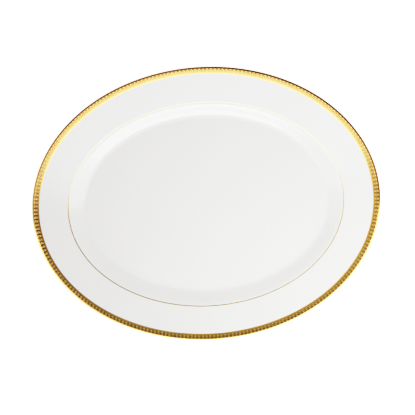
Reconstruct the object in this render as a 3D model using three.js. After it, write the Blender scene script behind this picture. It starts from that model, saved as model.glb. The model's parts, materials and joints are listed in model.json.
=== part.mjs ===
// An oval bone-china serving platter with a gold-encrusted rim, in millimetres, +Z up.
// The origin is at the centre of the oval, on the surface that the foot stands on.
// +X runs along the length of the oval and +Y across it.

import * as THREE from "three";

// Driving dimensions.
const LENGTH = 356; // 14 in oval, lip to lip
const WIDTH = 280; // 11 in across
const HEIGHT = 28;
const STATIONS = 72; // straight steps round each oval
const END_STRETCH = 1.035; // cavetto and rim are this much wider at the ends than at the sides

// The well holds the food. Its floor is flat.
const FLOOR_TOP = 9.4; // height of the floor's upper face
const FLOOR_THICKNESS = 4.8;
const FLOOR_HALF_WIDTH = 84;

// The verge is the edge where the cavetto, the wall of the well, turns over into the rim.
const VERGE_HALF_WIDTH = 104.9;
const VERGE_TOP = 20.6;
const CAVETTO_FLOOR_SWEEP = 11.5; // length of the hollow curve at the foot of the wall
const CAVETTO_VERGE_SWEEP = 6.7; // length of the rounded shoulder at its top
const CAVETTO_VERGE_DROP = 2;
const CAVETTO_STEPS = 7;
const CAVETTO_SETBACK = 2.2; // how far the outer face stands out from the inner one

// The rim is a straight slope, and its lip is a full round.
const RIM_THICKNESS = 3.6;
const LIP_RADIUS = 1.5;
const LIP_STEPS = 5;
const LIP_BLEND = 3; // width of the stretch where the rim thins down to the lip

// The foot ring stands under the edge of the floor. Its contact face is ground bare.
const FOOT_HALF_WIDTH = 88; // to the middle of the contact face
const FOOT_CONTACT = 2.6; // width of the contact face
const FOOT_BARE_HEIGHT = 1;
const FOOT_TOP_WIDTH = 6;
const FOOT_BEVEL = 0.3;
const FOOT_WAIST_HEIGHT = 2.4; // above this the foot flares out to meet the floor

// The gold, counted inwards from the outermost edge of the lip.
const LIP_GOLD_WIDTH = 1.8;
const RELIEF_WIDTH = 3.8;
const BORDER_WIDTH = 1.3;
const VERGE_LINE_WIDTH = 0.9;
const GOLD_THICKNESS = 0.3;
const GOLD_UNDER = -40; // how far the lip's gold wraps under, in degrees above the level
const SEAT_GAP = 0.05; // between one solid and the next

const halfWidth = WIDTH / 2;
const lip = { r: halfWidth - LIP_RADIUS, z: HEIGHT - LIP_RADIUS };
const seatDepth = GOLD_THICKNESS + SEAT_GAP;
const underside = FLOOR_TOP - FLOOR_THICKNESS;

// An oval is named by its half-width across Y. This gives its half-length along X.
function halfLength(r) {
  const floorEnd = LENGTH / 2 - END_STRETCH * (halfWidth - FLOOR_HALF_WIDTH);
  if (r <= FLOOR_HALF_WIDTH) return (floorEnd * r) / FLOOR_HALF_WIDTH;
  return LENGTH / 2 - END_STRETCH * (halfWidth - r);
}

// A turned solid whose circles are drawn out into ovals. Its profile is a list of
// [half-width, height] points, anticlockwise with the height upwards, and it either starts
// and ends on the axis or closes on itself.
function oval(profile) {
  const points = profile.map(([r, z]) => new THREE.Vector2(r, z));
  const geometry = new THREE.LatheGeometry(points, STATIONS);
  geometry.rotateX(Math.PI / 2);
  const position = geometry.getAttribute("position");
  for (let i = 0; i < position.count; i++) {
    const r = Math.hypot(position.getX(i), position.getY(i));
    if (r > 0) position.setX(i, (position.getX(i) * halfLength(r)) / r);
  }
  geometry.computeVertexNormals();
  return geometry;
}

// Height of the rim's upper face.
function rimTop(r) {
  const share = (r - VERGE_HALF_WIDTH) / (lip.r - VERGE_HALF_WIDTH);
  return VERGE_TOP + share * (HEIGHT - VERGE_TOP);
}

// The cavetto's S-shaped line from the floor up to the verge. The inner face has no setback
// and no depth, and the outer face is the same line, moved out and down.
function cavetto(setback, depth) {
  const curve = new THREE.CubicBezierCurve(
    new THREE.Vector2(FLOOR_HALF_WIDTH, FLOOR_TOP),
    new THREE.Vector2(FLOOR_HALF_WIDTH + CAVETTO_FLOOR_SWEEP, FLOOR_TOP),
    new THREE.Vector2(VERGE_HALF_WIDTH - CAVETTO_VERGE_SWEEP, VERGE_TOP - CAVETTO_VERGE_DROP),
    new THREE.Vector2(VERGE_HALF_WIDTH, VERGE_TOP),
  );
  return curve.getPoints(CAVETTO_STEPS).map((p) => [p.x + setback, p.y - depth]);
}

// Points on a round about the lip's centre. The angles are in degrees above the level.
function lipRound(radius, from, to) {
  return Array.from({ length: LIP_STEPS + 1 }, (_, i) => {
    const angle = THREE.MathUtils.degToRad(from + ((to - from) * i) / LIP_STEPS);
    return [lip.r + radius * Math.cos(angle), lip.z + radius * Math.sin(angle)];
  });
}

function chinaBody() {
  const borderEdge = halfWidth - LIP_GOLD_WIDTH - RELIEF_WIDTH - BORDER_WIDTH - SEAT_GAP;
  const vergeEdge = VERGE_HALF_WIDTH - SEAT_GAP;
  const rimEdge = VERGE_HALF_WIDTH + VERGE_LINE_WIDTH + SEAT_GAP;
  const blend = lip.r - LIP_BLEND;
  return [
    [0, underside],
    [FOOT_HALF_WIDTH + FOOT_TOP_WIDTH / 2 + 1, underside],
    ...cavetto(CAVETTO_SETBACK, RIM_THICKNESS).slice(3),
    [blend, rimTop(blend) - RIM_THICKNESS],
    ...lipRound(LIP_RADIUS, -78, GOLD_UNDER - 3),
    ...lipRound(LIP_RADIUS - seatDepth, GOLD_UNDER, 90),
    [borderEdge, rimTop(borderEdge) - seatDepth],
    [borderEdge, rimTop(borderEdge)],
    [rimEdge, rimTop(rimEdge)],
    [rimEdge, rimTop(rimEdge) - seatDepth],
    [vergeEdge, VERGE_TOP - seatDepth],
    [vergeEdge, VERGE_TOP],
    ...cavetto(0, 0).reverse().slice(1),
    [0, FLOOR_TOP],
  ];
}

function footRing() {
  const half = FOOT_CONTACT / 2 + FOOT_BEVEL;
  const bottom = FOOT_BARE_HEIGHT + SEAT_GAP;
  const top = underside - SEAT_GAP;
  return [
    [FOOT_HALF_WIDTH - half, bottom],
    [FOOT_HALF_WIDTH + half, bottom],
    [FOOT_HALF_WIDTH + half + FOOT_BEVEL, FOOT_WAIST_HEIGHT],
    [FOOT_HALF_WIDTH + FOOT_TOP_WIDTH / 2, top],
    [FOOT_HALF_WIDTH - FOOT_TOP_WIDTH / 2, top],
    [FOOT_HALF_WIDTH - half - FOOT_BEVEL, FOOT_WAIST_HEIGHT],
    [FOOT_HALF_WIDTH - half, bottom],
  ];
}

function footBareEdge() {
  const half = FOOT_CONTACT / 2;
  return [
    [FOOT_HALF_WIDTH - half, 0],
    [FOOT_HALF_WIDTH + half, 0],
    [FOOT_HALF_WIDTH + half + FOOT_BEVEL, FOOT_BARE_HEIGHT],
    [FOOT_HALF_WIDTH - half - FOOT_BEVEL, FOOT_BARE_HEIGHT],
    [FOOT_HALF_WIDTH - half, 0],
  ];
}

// The plain gold that wraps the lip.
function goldLipEdge() {
  const inner = halfWidth - LIP_GOLD_WIDTH;
  return [
    [inner, rimTop(inner) - GOLD_THICKNESS],
    ...lipRound(LIP_RADIUS - GOLD_THICKNESS, 90, GOLD_UNDER),
    ...lipRound(LIP_RADIUS, GOLD_UNDER, 90),
    [inner, rimTop(inner)],
    [inner, rimTop(inner) - GOLD_THICKNESS],
  ];
}

// A flat ring of gold let into the rim, with its upper face flush with the china.
function rimInlay(inner, outer) {
  return [
    [inner, rimTop(inner) - GOLD_THICKNESS],
    [outer, rimTop(outer) - GOLD_THICKNESS],
    [outer, rimTop(outer)],
    [inner, rimTop(inner)],
    [inner, rimTop(inner) - GOLD_THICKNESS],
  ];
}

function goldReliefBand() {
  const outer = halfWidth - LIP_GOLD_WIDTH - SEAT_GAP;
  return rimInlay(outer - RELIEF_WIDTH + SEAT_GAP, outer);
}

function goldInnerBorder() {
  const outer = halfWidth - LIP_GOLD_WIDTH - RELIEF_WIDTH - SEAT_GAP;
  return rimInlay(outer - BORDER_WIDTH + SEAT_GAP, outer);
}

function goldVergeLine() {
  return rimInlay(VERGE_HALF_WIDTH, VERGE_HALF_WIDTH + VERGE_LINE_WIDTH);
}

function finish(color, roughness, metalness) {
  return new THREE.MeshStandardMaterial({ color, roughness, metalness });
}

const platter = new THREE.Group();

function add(name, profile, material) {
  const mesh = new THREE.Mesh(oval(profile), material);
  mesh.name = name;
  platter.add(mesh);
}

add("china_body", chinaBody(), finish(0xf3f3f1, 0.12, 0));
add("foot_ring", footRing(), finish(0xf3f3f1, 0.12, 0));
add("foot_bare_edge", footBareEdge(), finish(0xe9e5dc, 0.85, 0));
add("gold_lip_edge", goldLipEdge(), finish(0xdcb356, 0.15, 1));
add("gold_relief_band", goldReliefBand(), finish(0xcfa04a, 0.3, 1));
add("gold_inner_border", goldInnerBorder(), finish(0xdcb356, 0.15, 1));
add("gold_verge_line", goldVergeLine(), finish(0xd4ab52, 0.2, 1));

export default platter;
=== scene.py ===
# The looks of an oval bone-china platter with an etched gold rim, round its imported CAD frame.
# Lengths are in metres. A place on the china is named by its half-width r (across Y), by its
# height z and by how far round the oval it is. A depth d is counted inwards from the lip.

import json
import math

import bpy
import numpy as np
from mathutils import Matrix, Vector

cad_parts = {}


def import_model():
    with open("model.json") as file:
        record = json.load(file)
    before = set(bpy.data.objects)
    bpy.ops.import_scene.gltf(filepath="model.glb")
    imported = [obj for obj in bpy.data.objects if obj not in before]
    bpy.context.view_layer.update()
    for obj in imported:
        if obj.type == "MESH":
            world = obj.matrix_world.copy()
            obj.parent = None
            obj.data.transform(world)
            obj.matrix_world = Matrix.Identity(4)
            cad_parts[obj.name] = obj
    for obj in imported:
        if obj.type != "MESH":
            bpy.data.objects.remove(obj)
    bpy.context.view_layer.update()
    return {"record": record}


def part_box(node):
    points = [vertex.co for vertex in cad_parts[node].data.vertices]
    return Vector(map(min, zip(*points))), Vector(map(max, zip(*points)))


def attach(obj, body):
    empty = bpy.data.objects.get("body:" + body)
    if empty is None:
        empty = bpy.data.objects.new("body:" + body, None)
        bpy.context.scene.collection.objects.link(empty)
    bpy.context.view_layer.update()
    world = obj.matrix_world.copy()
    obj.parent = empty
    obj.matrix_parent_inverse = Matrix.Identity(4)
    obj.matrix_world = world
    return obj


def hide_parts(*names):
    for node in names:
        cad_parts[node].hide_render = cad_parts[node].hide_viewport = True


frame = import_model()

MM = 0.001
BODY = "root"

# ---- Sizes that the frame gives ----
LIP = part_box("gold_lip_edge")[1]  # half-length, half-width and height of the lip
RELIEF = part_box("gold_relief_band")[1]
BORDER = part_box("gold_inner_border")[1]
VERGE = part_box("gold_verge_line")[1]
FOOT_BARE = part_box("foot_bare_edge")[1]
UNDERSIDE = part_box("foot_ring")[1].z
FLOOR = next(m["pos_m"][2] for m in frame["record"]["mounts"] if m["name"] == "well_floor")
END_STRETCH = (LIP.x - VERGE.x) / (LIP.y - VERGE.y)

# ---- Sizes of the finer shapes ----
MOTIFS = 252  # rings in the relief band
STATIONS = 2 * MOTIFS  # steps round every oval
FLOOR_R = 90 * MM  # the floor ends here and the cavetto begins
DISH = 1.0 * MM  # how much higher the floor is at its edge than in the middle
HOLLOW = 4.0 * MM  # reach of the curve at the foot of the cavetto
SHOULDER = 3.0 * MM  # and of the one at its top
SETBACK = 2.2 * MM  # how far the cavetto's outer face stands out from the inner one
LINE_WIDTH = 0.9 * MM
BORDER_WIDTH = 1.3 * MM
FILM = 0.45 * MM  # depth of the seat that each gold piece lies in
WALL = 3.6 * MM  # thickness of the rim
CREST = 1.5 * MM  # depth at which the rim's straight line would reach the lip's height
LIP_BEVEL = LIP.y - RELIEF.y  # width of the bevel outside the relief band
LIP_DROP = 1.3 * MM  # height of the lip's ridge over its outermost edge
LIP_FALL = 14  # degrees: how steeply the bevel starts down from the ridge
LIP_CURL = (0.9 * MM, 1.05 * MM)  # how far in and down from the edge the lip's gold ends
LIP_CORE = (2.2 * MM, 0.1 * MM)  # how far in and up from the edge its curves are centred
FOOT_MID = 88 * MM  # middle of the foot's contact face
FOOT_FLARE = 3.2 * MM  # how far each side of the foot spreads on its way up
FOOT_FILLET = 6.5 * MM  # reach, from its middle, of the curve between the foot and the wall
BLEND_DEPTH = 6.5 * MM  # depth at which the rim's back starts to curve up to the lip

VERGE_R = VERGE.y - LINE_WIDTH
RIM_SLOPE = (LIP.z - VERGE.z) / (LIP.y - CREST - VERGE.y)


def half_length(r):
    """Half-length of the oval whose half-width is r."""
    floor_end = LIP.x - END_STRETCH * (LIP.y - FLOOR_R)
    return np.where(r < FLOOR_R, floor_end * r / FLOOR_R, LIP.x - END_STRETCH * (LIP.y - r))


def even_angles(count, r):
    """Angles that are the same distance apart along the oval of half-width r."""
    fine = np.linspace(0, 2 * math.pi, 20001)
    x, y = half_length(r) * np.cos(fine), r * np.sin(fine)
    run = np.concatenate([[0], np.cumsum(np.hypot(np.diff(x), np.diff(y)))])
    return np.interp(np.arange(count) / count * run[-1], run, fine)


# ---- Lines in a section of the platter, as (r, z) points ----
def line(start, end, steps):
    """Points from start to end, without the last."""
    start, end = np.array(start), np.array(end)
    return [tuple(start + (end - start) * i / steps) for i in range(steps)]


def bezier(points, steps):
    """Points along a cubic curve, without the last."""
    a, b, c, d = (np.array(p) for p in points)
    shares = [i / steps for i in range(steps)]
    return [tuple((1 - t) ** 3 * a + 3 * (1 - t) ** 2 * t * b + 3 * (1 - t) * t**2 * c + t**3 * d)
            for t in shares]


def rim_top(r):
    """Height of the rim's upper face."""
    return VERGE.z + (r - VERGE.y) * RIM_SLOPE


def rim_point(r, lift=0.0):
    return (r, rim_top(r) + lift)


def lip_line(inset=0.0, steps=9):
    """The lip, from where its gold ends underneath, round the edge and up to its ridge."""
    ridge = rim_point(LIP.y - LIP_BEVEL)
    edge = (LIP.y, ridge[1] - LIP_DROP)
    under = (LIP.y - LIP_CURL[0], edge[1] - LIP_CURL[1])
    fall, reach = math.radians(LIP_FALL), 1.6 * MM
    beyond = (ridge[0] + reach * math.cos(fall), ridge[1] - reach * math.sin(fall))
    points = bezier([under, (under[0] + 0.6 * MM, under[1] + 0.15 * MM),
                     (edge[0], edge[1] - 0.5 * MM), edge], steps)
    points += bezier([edge, (edge[0], edge[1] + 0.6 * MM), beyond, ridge], steps)
    centre = np.array((LIP.y - LIP_CORE[0], edge[1] + LIP_CORE[1]))
    moved = []
    for point in points + [ridge]:
        spoke = np.array(point) - centre
        moved.append(tuple(centre + spoke * (1 - inset / np.linalg.norm(spoke))))
    return moved


def floor_top(r):
    """Height of the floor's upper face, which is a very shallow dish."""
    return FLOOR + DISH * (r / FLOOR_R) ** 2


def cavetto(setback, depth, steps):
    """The S-shaped line from the floor up to the verge, moved out and down."""
    floor_z, verge_z = floor_top(FLOOR_R), rim_top(VERGE_R)
    points = [
        (FLOOR_R, floor_z),
        (FLOOR_R + HOLLOW, floor_z + HOLLOW * 2 * DISH / FLOOR_R),
        (VERGE_R - SHOULDER, verge_z - SHOULDER * RIM_SLOPE),
        (VERGE_R, verge_z),
    ]
    return [(r + setback, z - depth) for r, z in bezier(points, steps)]


def foot_side(sign, steps=8):
    """One side of the foot ring: a soft flare from the ground edge up to the underside."""
    half = FOOT_BARE.y - FOOT_MID
    return bezier(
        [
            (FOOT_MID + sign * half, FOOT_BARE.z),
            (FOOT_MID + sign * (half + 0.2 * MM), FOOT_BARE.z + 1.4 * MM),
            (FOOT_MID + sign * (half + 0.6 * MM), UNDERSIDE),
            (FOOT_MID + sign * (half + FOOT_FLARE), UNDERSIDE),
        ],
        steps,
    )


def china_underside():
    """From the middle, over the foot ring and out along the back of the rim."""
    inner, outer = foot_side(-1), foot_side(1)
    wall = cavetto(SETBACK, WALL, 28)[12:]
    lip_under = lip_line()[0]
    points = [(0, UNDERSIDE)]
    points += line((6 * MM, UNDERSIDE), (FOOT_MID - 5 * MM, UNDERSIDE), 12)
    points += inner[::-1] + outer
    points += bezier([outer[-1], (FOOT_MID + FOOT_FILLET, UNDERSIDE + 0.6 * MM),
                      (wall[0][0] - 1.2 * MM, wall[0][1] - 1.8 * MM), wall[0]], 8)[1:]
    points += wall
    blend = rim_point(LIP.y - BLEND_DEPTH, -WALL)
    points += line(rim_point(VERGE_R + SETBACK, -WALL), blend, 12)
    points += bezier([blend, rim_point(LIP.y - 4 * MM, -WALL),
                      (lip_under[0] - 1.1 * MM, lip_under[1] - 0.35 * MM), lip_under], 6)
    return points


def china_top():
    """From the lip, over the seats of the gold and down to the middle of the floor."""
    border_in = BORDER.y - BORDER_WIDTH
    points = lip_line(FILM)
    points += [rim_point(border_in, -FILM), rim_point(border_in)]
    points += line(rim_point(border_in - 0.4 * MM), rim_point(VERGE.y + 0.3 * MM), 16)
    points += [rim_point(VERGE.y), rim_point(VERGE.y, -FILM)]
    points += [rim_point(VERGE_R, -FILM), rim_point(VERGE_R)]
    points += cavetto(0, 0, 40)[:0:-1]
    points += [(r, floor_top(r)) for r, _ in line((FLOOR_R, 0), (3 * MM, 0), 22)]
    return points + [(0, FLOOR)]


def foot_edge():
    """The ground edge that the platter stands on."""
    half = FOOT_BARE.y - FOOT_MID
    soft = 0.25 * MM
    return [
        (FOOT_MID - half + soft, 0),
        (FOOT_MID + half - soft, 0),
        (FOOT_MID + half, soft),
        (FOOT_MID + half, FOOT_BARE.z),
        (FOOT_MID - half, FOOT_BARE.z),
        (FOOT_MID - half, soft),
    ]


def laid_line(inner, outer, crown, steps=6):
    """A ring of gold let into the rim, with a softly crowned upper face."""
    shares = [i / steps for i in range(steps + 1)]
    top = [rim_point(outer + (inner - outer) * s, crown * (1 - (2 * s - 1) ** 2)) for s in shares]
    return [rim_point(inner, -FILM), rim_point(outer, -FILM)] + top


# ---- The relief band ----
GROUND = 0.12 * MM  # depth of the etched ground under the rim's upper face
GROOVE = 0.36 * MM  # depth of the groove's deepest part, from where it slopes up to the lip
GROOVE_WIDTH = 1.35 * MM
GROOVE_WALL = 0.1 * MM  # width of the groove's steep inner side
RING_MID = LIP.y - 3.55 * MM  # middle of the row of rings
RING_ALONG = 0.8 * MM  # a ring's radii, to the middle of its bead
RING_ACROSS = 1.5 * MM
RING_WAIST = 0.4  # width of a ring's bead at its sides, as a share of its width at its ends
RING_STEPS = 24
BEAD = 0.52 * MM  # half the width of a ring's bead at its ends
BEAD_RISE = 0.24 * MM  # half its height
BEAD_SINK = 0.15 * MM  # depth of its middle under the ground
BEAD_STEPS = 12
SEED_ALONG = 0.42 * MM  # half-lengths of the small boss in a ring's middle
SEED_ACROSS = 0.6 * MM
SEED_RISE = 0.2 * MM
SEED_STEPS = 8


def relief_ground():
    """The flat, sunk part of the band, which the rings stand on."""
    outer, inner = RELIEF.y - GROOVE_WIDTH, BORDER.y
    return [
        rim_point(inner, -FILM),
        rim_point(outer, -FILM),
        rim_point(outer, -GROUND),
        rim_point(inner, -GROUND),
    ]


def relief_groove():
    """The groove beside the lip."""
    outer, inner = RELIEF.y, RELIEF.y - GROOVE_WIDTH
    return [
        rim_point(inner, -FILM),
        rim_point(outer, -FILM),
        rim_point(outer, -GROUND),
        rim_point(inner + GROOVE_WALL, -GROOVE),
        rim_point(inner, -GROUND),
    ]


def ring():
    """Rows of (u, v, height) points of a bead bent into an oval ring. u runs along the band
    and v outwards."""
    rows = []
    for i in range(RING_STEPS):
        p = -2 * math.pi * i / RING_STEPS
        middle = np.array([RING_ALONG * math.cos(p), RING_ACROSS * math.sin(p)])
        out = np.array([RING_ACROSS * math.cos(p), RING_ALONG * math.sin(p)])
        out /= np.linalg.norm(out)
        size = RING_WAIST + (1 - RING_WAIST) * math.sin(p) ** 2
        row = []
        for j in range(BEAD_STEPS):
            q = 2 * math.pi * j / BEAD_STEPS
            u, v = middle + out * BEAD * size * math.cos(q)
            row.append((u, v, size * (BEAD_RISE * math.sin(q) - BEAD_SINK)))
        rows.append(row)
    return rows


def seed():
    """Rows of points of the small oval boss in the middle of a ring."""
    rows = []
    for i in range(SEED_STEPS):
        t = -1 + 2 * (i + 0.5) / SEED_STEPS
        size = math.sqrt(1 - t * t)
        row = []
        for j in range(SEED_STEPS):
            q = 2 * math.pi * j / SEED_STEPS
            height = SEED_RISE * size * math.sin(q) - SEED_RISE / 4
            row.append((SEED_ALONG * t, SEED_ACROSS * size * math.cos(q), height))
        rows.append(row)
    return rows


def chain(name, shape, closed):
    """One shape repeated round the band, each copy set square to the lip and bent with it.
    Its rows go round in a closed loop, or else its two ends are capped."""
    angles = even_angles(MOTIFS, RING_MID)
    a, b = float(half_length(RING_MID)), RING_MID
    centre = np.stack([a * np.cos(angles), b * np.sin(angles)], axis=1)
    tangent = np.stack([-a * np.sin(angles), b * np.cos(angles)], axis=1)
    tangent /= np.linalg.norm(tangent, axis=1)[:, None]
    outward = np.stack([tangent[:, 1], -tangent[:, 0]], axis=1)
    slope = RIM_SLOPE / np.hypot(END_STRETCH * outward[:, 0], outward[:, 1])
    curvature = a * b / np.hypot(b * np.cos(angles), a * np.sin(angles)) ** 3
    ground = rim_top(RING_MID) - GROUND
    count, width = len(shape), len(shape[0])
    vertices, faces = [], []
    for m in range(MOTIFS):
        start = len(vertices)
        for row in shape:
            for u, v, rise in row:
                v_bent = v - curvature[m] * u * u / 2
                x, y = centre[m] + u * tangent[m] + v_bent * outward[m]
                vertices.append((x, y, ground + v * slope[m] + rise))
        for i in range(count if closed else count - 1):
            for j in range(width):
                i2, j2 = (i + 1) % count, (j + 1) % width
                faces.append([start + i * width + j, start + i2 * width + j,
                              start + i2 * width + j2, start + i * width + j2])
        if not closed:
            faces.append([start + j for j in range(width)])
            faces.append([start + (count - 1) * width + j for j in reversed(range(width))])
    return mesh_object(name, vertices, faces)


# ---- Mesh making ----
SHARP = 40  # degrees: the shading breaks at edges that turn more than this


def mesh_object(name, vertices, faces):
    mesh = bpy.data.meshes.new(name)
    mesh.from_pydata([tuple(v) for v in vertices], [], faces)
    mesh.validate()
    mesh.shade_smooth()
    mesh.set_sharp_from_angle(angle=math.radians(SHARP))
    piece = bpy.data.objects.new(name, mesh)
    bpy.context.scene.collection.objects.link(piece)
    return piece


def sweep(name, profile):
    """Sweeps a profile of (r, z) points round the oval. The points run anticlockwise, and
    either start and end on the axis or go round in a closed loop without repeating the first."""
    angles = even_angles(STATIONS, LIP.y)
    vertices, rows = [], []
    for r, z in profile:
        start = len(vertices)
        if r == 0:
            vertices.append((0, 0, z))
            rows.append([start] * STATIONS)
            continue
        ring = (half_length(r) * np.cos(angles), r * np.sin(angles), np.full(STATIONS, z))
        vertices.extend(np.stack(ring, axis=1))
        rows.append(list(range(start, start + STATIONS)))
    faces = []
    strips = len(rows) - 1 if profile[0][0] == 0 else len(rows)
    for j in range(strips):
        low, high = rows[j], rows[(j + 1) % len(rows)]
        for i in range(STATIONS):
            k = (i + 1) % STATIONS
            faces.append(list(dict.fromkeys([low[i], low[k], high[k], high[i]])))
    return mesh_object(name, vertices, faces)


# ---- Materials ----
def material(name):
    made = bpy.data.materials.new(name)
    made.use_nodes = True
    shader = next(n for n in made.node_tree.nodes if n.type == "BSDF_PRINCIPLED")
    return made, made.node_tree, shader


def add_node(tree, kind, **settings):
    node = tree.nodes.new(kind)
    for key, value in settings.items():
        if key in node.inputs:
            node.inputs[key].default_value = value
        else:
            setattr(node, key, value)
    return node


def noise(tree, scale, detail=3.0, vector=None):
    node = add_node(tree, "ShaderNodeTexNoise", Scale=scale, Detail=detail)
    source = vector or add_node(tree, "ShaderNodeTexCoord").outputs["Object"]
    tree.links.new(source, node.inputs["Vector"])
    return node.outputs["Fac"]


def ramp(tree, value, low, high, start=0.3, end=0.7):
    """Colours from low to high as value goes from start to end."""
    node = tree.nodes.new("ShaderNodeValToRGB")
    for stop, place, colour in zip(node.color_ramp.elements, (start, end), (low, high)):
        stop.position = place
        stop.color = (*colour, 1)
    tree.links.new(value, node.inputs["Fac"])
    return node.outputs["Color"]


def span(tree, value, source, result):
    """The value moved from the span source to the span result."""
    node = add_node(tree, "ShaderNodeMapRange")
    for name, number in zip(("From Min", "From Max", "To Min", "To Max"), source + result):
        node.inputs[name].default_value = number
    tree.links.new(value, node.inputs["Value"])
    return node.outputs["Result"]


def product(tree, first, second):
    """Two values multiplied. The second may be a plain number."""
    node = add_node(tree, "ShaderNodeMath", operation="MULTIPLY")
    tree.links.new(first, node.inputs[0])
    if isinstance(second, float):
        node.inputs[1].default_value = second
    else:
        tree.links.new(second, node.inputs[1])
    return node.outputs[0]


def bump(tree, shader, height, strength, distance, socket="Normal"):
    node = add_node(tree, "ShaderNodeBump", Strength=strength, Distance=distance)
    tree.links.new(height, node.inputs["Height"])
    tree.links.new(node.outputs["Normal"], shader.inputs[socket])


def glazed_china():
    made, tree, shader = material("glazed_china")
    tint = ramp(tree, noise(tree, 14, 2), (0.80, 0.80, 0.785), (0.82, 0.82, 0.81))
    tree.links.new(tint, shader.inputs["Base Color"])
    shader.inputs["Roughness"].default_value = 0.35
    shader.inputs["Coat Weight"].default_value = 1.0
    shader.inputs["Coat Roughness"].default_value = 0.04
    shader.inputs["Coat IOR"].default_value = 1.62
    bump(tree, shader, noise(tree, 45, 2), 0.12, 0.0001, "Coat Normal")
    return made


def bare_china():
    made, tree, shader = material("bare_china")
    grain = noise(tree, 2600, 4)
    tint = ramp(tree, grain, (0.72, 0.68, 0.60), (0.86, 0.83, 0.77))
    tree.links.new(tint, shader.inputs["Base Color"])
    shader.inputs["Roughness"].default_value = 0.85
    bump(tree, shader, grain, 0.5, 0.0001)
    return made


def oval_streaks(tree, across_scale, along_scale):
    """Noise drawn out along the oval, as a burnisher's marks are."""
    parts = add_node(tree, "ShaderNodeSeparateXYZ")
    tree.links.new(add_node(tree, "ShaderNodeTexCoord").outputs["Object"], parts.inputs[0])
    flat = add_node(tree, "ShaderNodeCombineXYZ")
    tree.links.new(product(tree, parts.outputs["X"], LIP.y / LIP.x), flat.inputs["X"])
    tree.links.new(parts.outputs["Y"], flat.inputs["Y"])
    reach = add_node(tree, "ShaderNodeVectorMath", operation="LENGTH")
    tree.links.new(flat.outputs[0], reach.inputs[0])
    stretched = add_node(tree, "ShaderNodeCombineXYZ")
    across = product(tree, reach.outputs["Value"], across_scale / along_scale)
    for source, name in zip((across, parts.outputs["X"], parts.outputs["Y"]), "XYZ"):
        tree.links.new(source, stretched.inputs[name])
    return noise(tree, along_scale, 3, stretched.outputs[0])


SOFT_GRAIN = (900, 0.00002)  # scale and depth of the unevenness of gold laid on the glaze
FINE_GRAIN = (4000, 0.00001)  # and of gold laid on an etched ground


def gold(name, light, deep, roughness, grain):
    """Fired gold. light and deep are the limits of its colour, and roughness is a span."""
    made, tree, shader = material(name)
    shader.inputs["Metallic"].default_value = 1.0
    tree.links.new(ramp(tree, noise(tree, 60, 3), deep, light), shader.inputs["Base Color"])
    streaks = oval_streaks(tree, 2500, 30)
    tree.links.new(span(tree, streaks, (0, 1), roughness), shader.inputs["Roughness"])
    scale, depth = grain
    bump(tree, shader, noise(tree, scale, 3), 0.3, depth)
    return made


# ---- Pieces ----
def place(piece, look, slot, *nodes):
    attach(piece, BODY)
    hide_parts(*nodes)
    piece.data.materials.append(look)


burnished = gold("burnished_gold", (1.0, 0.70, 0.22), (0.97, 0.65, 0.17), (0.08, 0.16), SOFT_GRAIN)
liner = gold("liner_gold", (1.0, 0.86, 0.46), (0.95, 0.81, 0.41), (0.14, 0.24), SOFT_GRAIN)
# Matt etched gold for the sunk ground, its colour darkened partly for the real etched finish and
# partly as painted shade between the rings.
etched = gold("etched_gold", (0.56, 0.39, 0.16), (0.46, 0.31, 0.13), (0.08, 0.14), FINE_GRAIN)
# A darker copy of the gold, painted shade: it stands for the shadow in the groove under the lip's
# ridge and in the pits of the rings.
shaded = gold("groove_gold_painted_shade", (0.52, 0.27, 0.08), (0.42, 0.21, 0.06), (0.1, 0.16), FINE_GRAIN)

place(sweep("platter_china", china_underside() + china_top()), glazed_china(),
      "glazed_china", "china_body", "foot_ring")
place(sweep("foot_ground_edge", foot_edge()), bare_china(), "bare_china", "foot_bare_edge")
place(sweep("lip_gilding", lip_line() + lip_line(FILM)[::-1]), burnished,
      "burnished_gold", "gold_lip_edge")
# The sunk ground's darker gold is partly painted shade between the rings.
place(sweep("relief_ground", relief_ground()), etched, "etched_gold", "gold_relief_band")
# The groove's dark gold is painted shade under the lip's ridge.
place(sweep("relief_groove", relief_groove()), shaded, "etched_gold", "gold_relief_band")
place(chain("relief_rings", ring(), True), burnished, "burnished_gold", "gold_relief_band")
# The bosses' dark gold is painted shade in the middle of each ring.
place(chain("relief_seeds", seed(), False), shaded, "etched_gold", "gold_relief_band")
border = laid_line(BORDER.y - BORDER_WIDTH, BORDER.y, 0.02 * MM)
place(sweep("inner_border_gilding", border), burnished, "burnished_gold", "gold_inner_border")
hairline = laid_line(VERGE_R, VERGE.y, 0.03 * MM)
place(sweep("verge_gilding", hairline), liner, "burnished_gold", "gold_verge_line")


# ---- Floor, light and camera ----
SKY = 0.82  # brightness of the sky for matt surfaces
BRIGHTEST = 9.0  # brightness of the backdrop and of full scale in the studio's levels
WARM = (1.0, 0.84, 0.40)  # tints of the studio's dim parts
BROWN = (1.0, 0.54, 0.28)


def floor():
    """White enough to be seen as pure white, without lighting the platter from below."""
    size = 3.0
    corners = [(-size, -size, 0), (size, -size, 0), (size, size, 0), (-size, size, 0)]
    plane = mesh_object("floor", corners, [[0, 1, 2, 3]])
    made, tree, shader = material("floor_white")
    shader.inputs["Base Color"].default_value = (0.92, 0.92, 0.92, 1)
    shader.inputs["Roughness"].default_value = 0.9
    shader.inputs["Specular IOR Level"].default_value = 0.1
    shader.inputs["Emission Color"].default_value = (1, 1, 1, 1)
    seen = add_node(tree, "ShaderNodeLightPath").outputs["Is Camera Ray"]
    tree.links.new(product(tree, seen, 1.2), shader.inputs["Emission Strength"])
    plane.data.materials.append(made)


def area_light(name, spot, aim, size, power):
    """A soft light for matt surfaces. It isn't mirrored in the glaze or the gold."""
    data = bpy.data.lights.new(name, "AREA")
    data.shape = "RECTANGLE"
    data.size, data.size_y = size
    data.energy = power
    lamp = bpy.data.objects.new(name, data)
    bpy.context.scene.collection.objects.link(lamp)
    lamp.location = spot
    lamp.rotation_euler = (Vector(aim) - Vector(spot)).to_track_quat("-Z", "Y").to_euler()
    lamp.visible_camera = False
    lamp.visible_glossy = False


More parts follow.
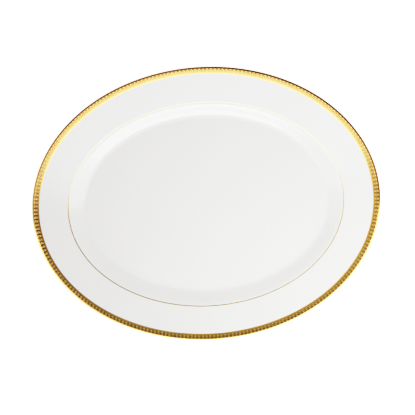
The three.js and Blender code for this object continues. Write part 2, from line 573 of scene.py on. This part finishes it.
def levels(tree, value, *stops):
    """Brightness that follows (value, brightness, tint) stops, for values from -1 to 1."""
    node = tree.nodes.new("ShaderNodeValToRGB")
    node.color_ramp.interpolation = "EASE"
    for _ in stops[2:]:
        node.color_ramp.elements.new(0.5)
    for stop, (at, level, *tint) in zip(node.color_ramp.elements, stops):
        stop.position = (at + 1) / 2
        stop.color = (*(level * t / BRIGHTEST for t in (tint[0] if tint else (1, 1, 1))), 1)
    tree.links.new(span(tree, value, (-1, 1), (0, 1)), node.inputs["Fac"])
    return node.outputs["Color"]


def mixed(tree, share, first, second, blend="MIX"):
    """Colours mixed, or added with blend ADD. Each is a socket or a plain grey."""
    node = add_node(tree, "ShaderNodeMix", data_type="RGBA", blend_type=blend)
    for name, colour in (("Factor", share), ("A", first), ("B", second)):
        if isinstance(colour, float):
            node.inputs[name].default_value = colour if name == "Factor" else [colour] * 3 + [1]
        else:
            tree.links.new(colour, node.inputs[name])
    return node.outputs["Result"]


def world():
    """An even white sky. What shines sees a studio in it: a softbox overhead and a bright
    strip light low down, both on the -Y side, and a dim room on the other sides."""
    sky = bpy.data.worlds.new("studio")
    bpy.context.scene.world = sky
    sky.use_nodes = True
    sky.cycles.sampling_method = "NONE"  # so that what shines sees only the studio
    tree = sky.node_tree
    direction = add_node(tree, "ShaderNodeTexCoord").outputs["Generated"]
    parts = add_node(tree, "ShaderNodeSeparateXYZ")
    tree.links.new(direction, parts.inputs[0])
    x, y = parts.outputs["X"], parts.outputs["Y"]
    room = levels(tree, x, (-0.98, 1.2), (-0.85, 0.4, WARM), (-0.12, 0.72, WARM),
                  (-0.02, 0.42, WARM), (0.07, 0.23, BROWN), (1, 0.25, BROWN))
    far_side = levels(tree, y, (0.15, BRIGHTEST), (0.5, 0.3 * BRIGHTEST, BROWN))
    edge = levels(tree, y, (-0.24, BRIGHTEST), (-0.1, 0.0))
    softbox = levels(tree, y, (-0.9, 0.6), (-0.75, 0.6), (-0.45, 2.3))
    low = levels(tree, parts.outputs["Z"], (0.1, 0.0), (0.26, 6.0), (0.42, 6.0), (0.58, 0.0))
    reach = levels(tree, x, (-0.85, 0.0), (-0.3, BRIGHTEST), (0.5, BRIGHTEST), (0.85, 0.0))
    strip = mixed(tree, 1.0, low, reach, "MULTIPLY")
    near_side = mixed(tree, 1.0, softbox, strip, "ADD")
    dimmed = mixed(tree, 1.0, room, far_side, "MULTIPLY")
    studio = mixed(tree, edge, dimmed, near_side)
    ray = add_node(tree, "ShaderNodeLightPath")
    lit = mixed(tree, ray.outputs["Is Glossy Ray"], SKY / BRIGHTEST, studio)
    seen = mixed(tree, ray.outputs["Is Camera Ray"], lit, 1.0)
    background = tree.nodes["Background"]
    tree.links.new(seen, background.inputs["Color"])
    background.inputs["Strength"].default_value = BRIGHTEST


def camera():
    """Almost overhead, a little beyond the far side, and turned a little about its own axis."""
    data = bpy.data.cameras.new("camera")
    data.sensor_width = 36
    data.lens = 56.1
    lean_x, lean_y, roll = math.radians(1.8), math.radians(5.07), math.radians(-4.03)
    target, distance = Vector((0.0021, -0.0027, 0.015)), 0.672
    back = Vector((math.tan(lean_x), math.tan(lean_y), 1)).normalized()
    level = Vector((0, 1, 0)).cross(back).normalized()
    right = level * math.cos(roll) + back.cross(level) * math.sin(roll)
    axes = Matrix((right, back.cross(right), back)).transposed().to_4x4()
    view = bpy.data.objects.new("camera", data)
    bpy.context.scene.collection.objects.link(view)
    view.matrix_world = Matrix.Translation(target + back * distance) @ axes
    bpy.context.scene.camera = view


def tone_curve():
    """Highlights roll off softly, as they do in a bright product photograph."""
    brightest = 1.8
    view = bpy.context.scene.view_settings
    view.view_transform = "Standard"
    view.use_curve_mapping = True
    mapping = view.curve_mapping
    mapping.white_level = (brightest, brightest, brightest)
    curve = mapping.curves[3]
    for light, tone in ((0.5, 0.5), (0.75, 0.71), (1.0, 0.83), (1.25, 0.89), (1.5, 0.935)):
        curve.points.new(light / brightest, tone)
    mapping.update()


floor()
area_light("key", spot=(0.15, -0.095, 0.30), aim=(0, 0, 0), size=(0.2, 0.2), power=0.88)
world()
camera()
tone_curve()
